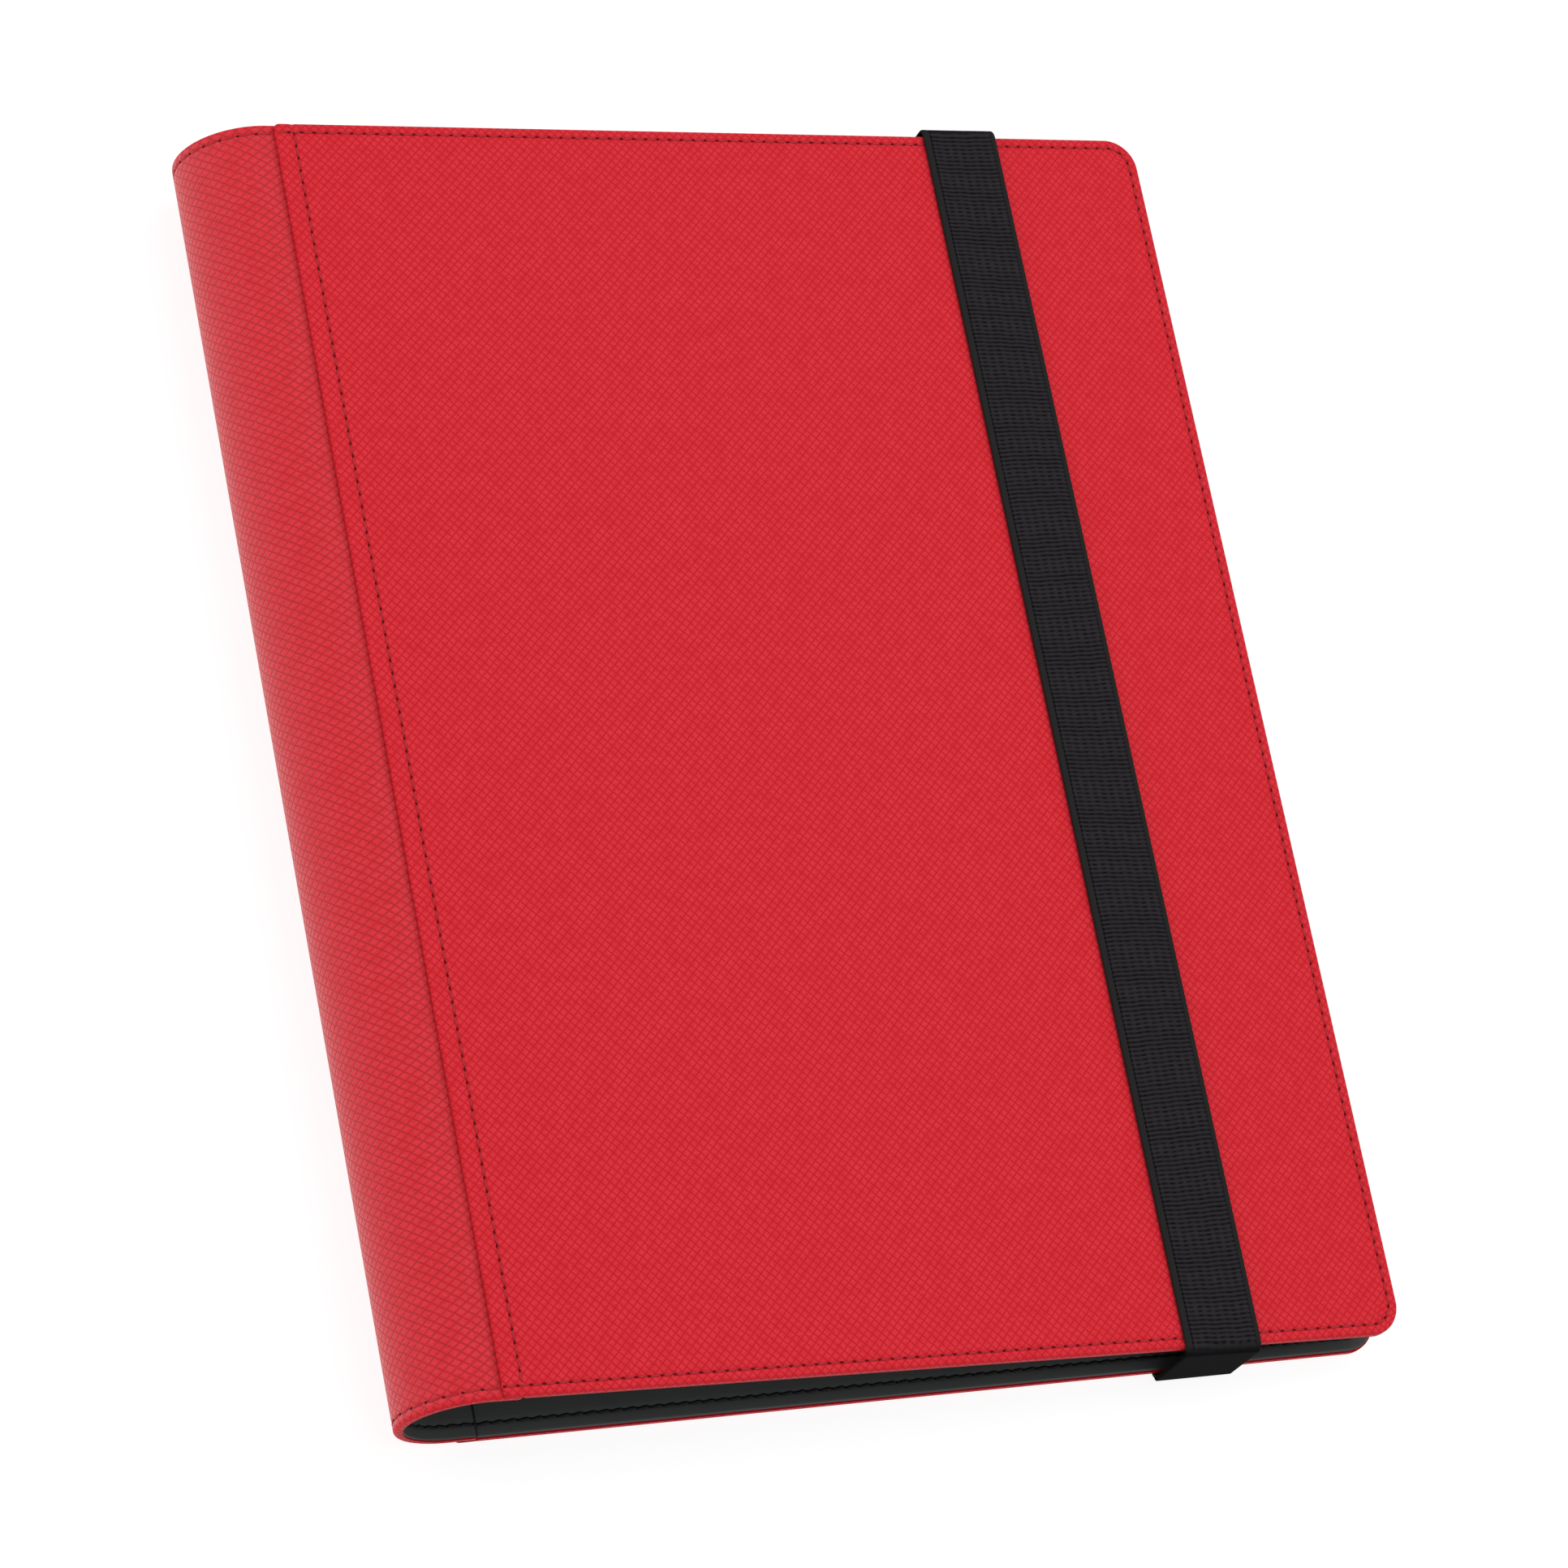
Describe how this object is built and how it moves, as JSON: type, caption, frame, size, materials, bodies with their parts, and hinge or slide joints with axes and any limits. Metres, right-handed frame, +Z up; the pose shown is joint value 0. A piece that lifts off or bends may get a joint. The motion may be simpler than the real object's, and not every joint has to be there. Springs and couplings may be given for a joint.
{
  "type": "trading card binder",
  "caption": "Soft-covered trading card binder with a round flexible spine, pocket leaves in two sewn blocks and an elastic strap closure.",
  "frame": {"origin": "centre of the shut binder's footprint, on the outer face of the back cover", "axes": "+X from the spine to the fore-edge, +Y from the bottom edge to the top edge, +Z up from the back cover to the front cover"},
  "size_m": [0.2556, 0.3232, 0.0369],
  "materials": {
    "cover_skin": "fine diamond weave, matt",
    "spine_skin": "fine diamond weave, matt",
    "lining": "matt",
    "board": "matt grey card",
    "thread": "twisted thread",
    "elastic": "ribbed woven elastic",
    "page": "satin polypropylene",
    "binding": "matt"
  },
  "bodies": {
    "back_cover": {"back_cover_skin": "cover_skin", "back_cover_board": "board", "back_cover_lining": "lining", "back_cover_stitching_hem": "thread", "back_cover_stitching_fore": "thread", "back_hinge_skin": "spine_skin", "back_hinge_lining": "lining", "strap_tail_bottom": "elastic", "strap_tail_top": "elastic"},
    "spine_back_1": {"spine_back_1_skin": "spine_skin", "spine_back_1_lining": "lining"},
    "spine_back_2": {"spine_back_2_skin": "spine_skin", "spine_back_2_lining": "lining", "back_page_binding": "binding"},
    "spine_back_3": {"spine_back_3_skin": "spine_skin", "spine_back_3_lining": "lining"},
    "spine_middle": {"spine_middle_skin": "spine_skin", "spine_middle_lining": "lining"},
    "spine_front_3": {"spine_front_3_skin": "spine_skin", "spine_front_3_lining": "lining"},
    "spine_front_2": {"spine_front_2_skin": "spine_skin", "spine_front_2_lining": "lining", "front_page_binding": "binding"},
    "spine_front_1": {"spine_front_1_skin": "spine_skin", "spine_front_1_lining": "lining"},
    "front_cover": {"front_cover_skin": "cover_skin", "front_cover_board": "board", "front_cover_lining": "lining", "front_cover_stitching": "thread", "front_hinge_skin": "spine_skin", "front_hinge_lining": "lining"},
    "strap": {"elastic_strap": "elastic"},
    "leaf_01": {"leaf_01": "page"},
    "leaf_02": {"leaf_02": "page"},
    "leaf_03": {"leaf_03": "page"},
    "leaf_04": {"leaf_04": "page"},
    "leaf_05": {"leaf_05": "page"},
    "leaf_06": {"leaf_06": "page"},
    "leaf_07": {"leaf_07": "page"},
    "leaf_08": {"leaf_08": "page"},
    "leaf_09": {"leaf_09": "page"},
    "leaf_10": {"leaf_10": "page"},
    "leaf_11": {"leaf_11": "page"},
    "leaf_12": {"leaf_12": "page"},
    "leaf_13": {"leaf_13": "page"},
    "leaf_14": {"leaf_14": "page"},
    "leaf_15": {"leaf_15": "page"},
    "leaf_16": {"leaf_16": "page"},
    "leaf_17": {"leaf_17": "page"},
    "leaf_18": {"leaf_18": "page"},
    "leaf_19": {"leaf_19": "page"},
    "leaf_20": {"leaf_20": "page"}
  },
  "joints": [
    {"name": "spine_fold", "type": "hinge", "parent": "back_cover", "child": "spine_back_1", "pos_m": [-0.11383, 0, 0.00146], "axis": [0, -1, 0], "range_deg": [0, 23.12]},
    {"name": "spine_fold_2", "type": "hinge", "parent": "spine_back_1", "child": "spine_back_2", "pos_m": [-0.12026, 0, 0.00421], "axis": [0, -1, 0], "range_deg": [0, 23.12]},
    {"name": "spine_fold_3", "type": "hinge", "parent": "spine_back_2", "child": "spine_back_3", "pos_m": [-0.12509, 0, 0.00926], "axis": [0, -1, 0], "range_deg": [0, 23.12]},
    {"name": "spine_fold_4", "type": "hinge", "parent": "spine_back_3", "child": "spine_middle", "pos_m": [-0.12755, 0, 0.0158], "axis": [0, -1, 0], "range_deg": [0, 23.12]},
    {"name": "spine_fold_5", "type": "hinge", "parent": "spine_middle", "child": "spine_front_3", "pos_m": [-0.12725, 0, 0.02279], "axis": [0, -1, 0], "range_deg": [0, 23.12]},
    {"name": "spine_fold_6", "type": "hinge", "parent": "spine_front_3", "child": "spine_front_2", "pos_m": [-0.12423, 0, 0.02909], "axis": [0, -1, 0], "range_deg": [0, 23.12]},
    {"name": "spine_fold_7", "type": "hinge", "parent": "spine_front_2", "child": "spine_front_1", "pos_m": [-0.11897, 0, 0.0337], "axis": [0, -1, 0], "range_deg": [0, 23.12]},
    {"name": "cover_fold", "type": "hinge", "parent": "spine_front_1", "child": "front_cover", "pos_m": [-0.11232, 0, 0.03588], "axis": [0, -1, 0], "range_deg": [0, 23.12]},
    {"name": "leaf_01_turn", "type": "hinge", "parent": "spine_back_2", "child": "leaf_01", "pos_m": [-0.11533, 0, 0.0052], "axis": [0, -1, 0], "range_deg": [-46.38, 0]},
    {"name": "leaf_02_turn", "type": "hinge", "parent": "spine_back_2", "child": "leaf_02", "pos_m": [-0.11533, 0, 0.00664], "axis": [0, -1, 0], "range_deg": [-46.27, 0]},
    {"name": "leaf_03_turn", "type": "hinge", "parent": "spine_back_2", "child": "leaf_03", "pos_m": [-0.11533, 0, 0.00809], "axis": [0, -1, 0], "range_deg": [-46.16, 0]},
    {"name": "leaf_04_turn", "type": "hinge", "parent": "spine_back_2", "child": "leaf_04", "pos_m": [-0.11533, 0, 0.00954], "axis": [0, -1, 0], "range_deg": [-46.05, 0]},
    {"name": "leaf_05_turn", "type": "hinge", "parent": "spine_back_2", "child": "leaf_05", "pos_m": [-0.11533, 0, 0.01098], "axis": [0, -1, 0], "range_deg": [-45.94, 0]},
    {"name": "leaf_06_turn", "type": "hinge", "parent": "spine_back_2", "child": "leaf_06", "pos_m": [-0.11533, 0, 0.01243], "axis": [0, -1, 0], "range_deg": [-45.83, 0]},
    {"name": "leaf_07_turn", "type": "hinge", "parent": "spine_back_2", "child": "leaf_07", "pos_m": [-0.11533, 0, 0.01387], "axis": [0, -1, 0], "range_deg": [-45.72, 0]},
    {"name": "leaf_08_turn", "type": "hinge", "parent": "spine_back_2", "child": "leaf_08", "pos_m": [-0.11533, 0, 0.01532], "axis": [0, -1, 0], "range_deg": [-45.61, 0]},
    {"name": "leaf_09_turn", "type": "hinge", "parent": "spine_back_2", "child": "leaf_09", "pos_m": [-0.11533, 0, 0.01676], "axis": [0, -1, 0], "range_deg": [-45.5, 0]},
    {"name": "leaf_10_turn", "type": "hinge", "parent": "spine_back_2", "child": "leaf_10", "pos_m": [-0.11533, 0, 0.01821], "axis": [0, -1, 0], "range_deg": [-45.39, 0]},
    {"name": "leaf_11_turn", "type": "hinge", "parent": "spine_front_2", "child": "leaf_11", "pos_m": [-0.11528, 0, 0.01933], "axis": [0, -1, 0], "range_deg": [0, 45.39]},
    {"name": "leaf_12_turn", "type": "hinge", "parent": "spine_front_2", "child": "leaf_12", "pos_m": [-0.11516, 0, 0.02077], "axis": [0, -1, 0], "range_deg": [0, 45.5]},
    {"name": "leaf_13_turn", "type": "hinge", "parent": "spine_front_2", "child": "leaf_13", "pos_m": [-0.11503, 0, 0.02221], "axis": [0, -1, 0], "range_deg": [0, 45.61]},
    {"name": "leaf_14_turn", "type": "hinge", "parent": "spine_front_2", "child": "leaf_14", "pos_m": [-0.1149, 0, 0.02365], "axis": [0, -1, 0], "range_deg": [0, 45.72]},
    {"name": "leaf_15_turn", "type": "hinge", "parent": "spine_front_2", "child": "leaf_15", "pos_m": [-0.11478, 0, 0.02509], "axis": [0, -1, 0], "range_deg": [0, 45.83]},
    {"name": "leaf_16_turn", "type": "hinge", "parent": "spine_front_2", "child": "leaf_16", "pos_m": [-0.11465, 0, 0.02653], "axis": [0, -1, 0], "range_deg": [0, 45.94]},
    {"name": "leaf_17_turn", "type": "hinge", "parent": "spine_front_2", "child": "leaf_17", "pos_m": [-0.11453, 0, 0.02797], "axis": [0, -1, 0], "range_deg": [0, 46.05]},
    {"name": "leaf_18_turn", "type": "hinge", "parent": "spine_front_2", "child": "leaf_18", "pos_m": [-0.1144, 0, 0.02941], "axis": [0, -1, 0], "range_deg": [0, 46.16]},
    {"name": "leaf_19_turn", "type": "hinge", "parent": "spine_front_2", "child": "leaf_19", "pos_m": [-0.11428, 0, 0.03085], "axis": [0, -1, 0], "range_deg": [0, 46.27]},
    {"name": "leaf_20_turn", "type": "hinge", "parent": "spine_front_2", "child": "leaf_20", "pos_m": [-0.11415, 0, 0.03229], "axis": [0, -1, 0], "range_deg": [0, 46.38]},
    {"name": "strap_release", "type": "hinge", "parent": "back_cover", "child": "strap", "pos_m": [0.07766, 0, 0], "axis": [0, 1, 0], "range_deg": [0, 180], "deforming": ["elastic_strap"]}
  ],
  "couplings": [
    {"joint": "spine_fold_2", "follows": "spine_fold", "ratio": 1},
    {"joint": "spine_fold_3", "follows": "spine_fold", "ratio": 1},
    {"joint": "spine_fold_4", "follows": "spine_fold", "ratio": 1},
    {"joint": "spine_fold_5", "follows": "spine_fold", "ratio": 1},
    {"joint": "spine_fold_6", "follows": "spine_fold", "ratio": 1},
    {"joint": "spine_fold_7", "follows": "spine_fold", "ratio": 1},
    {"joint": "cover_fold", "follows": "spine_fold", "ratio": 1},
    {"joint": "leaf_01_turn", "follows": "spine_fold", "ratio": -2.0054},
    {"joint": "leaf_02_turn", "follows": "spine_fold", "ratio": -2.0006},
    {"joint": "leaf_03_turn", "follows": "spine_fold", "ratio": -1.9959},
    {"joint": "leaf_04_turn", "follows": "spine_fold", "ratio": -1.9911},
    {"joint": "leaf_05_turn", "follows": "spine_fold", "ratio": -1.9863},
    {"joint": "leaf_06_turn", "follows": "spine_fold", "ratio": -1.9815},
    {"joint": "leaf_07_turn", "follows": "spine_fold", "ratio": -1.9767},
    {"joint": "leaf_08_turn", "follows": "spine_fold", "ratio": -1.972},
    {"joint": "leaf_09_turn", "follows": "spine_fold", "ratio": -1.9672},
    {"joint": "leaf_10_turn", "follows": "spine_fold", "ratio": -1.9624},
    {"joint": "leaf_11_turn", "follows": "spine_fold", "ratio": 1.9624},
    {"joint": "leaf_12_turn", "follows": "spine_fold", "ratio": 1.9672},
    {"joint": "leaf_13_turn", "follows": "spine_fold", "ratio": 1.972},
    {"joint": "leaf_14_turn", "follows": "spine_fold", "ratio": 1.9767},
    {"joint": "leaf_15_turn", "follows": "spine_fold", "ratio": 1.9815},
    {"joint": "leaf_16_turn", "follows": "spine_fold", "ratio": 1.9863},
    {"joint": "leaf_17_turn", "follows": "spine_fold", "ratio": 1.9911},
    {"joint": "leaf_18_turn", "follows": "spine_fold", "ratio": 1.9959},
    {"joint": "leaf_19_turn", "follows": "spine_fold", "ratio": 2.0006},
    {"joint": "leaf_20_turn", "follows": "spine_fold", "ratio": 2.0054},
    {"joint": "strap_release", "follows": "spine_fold", "ratio": 7.7838}
  ]
}
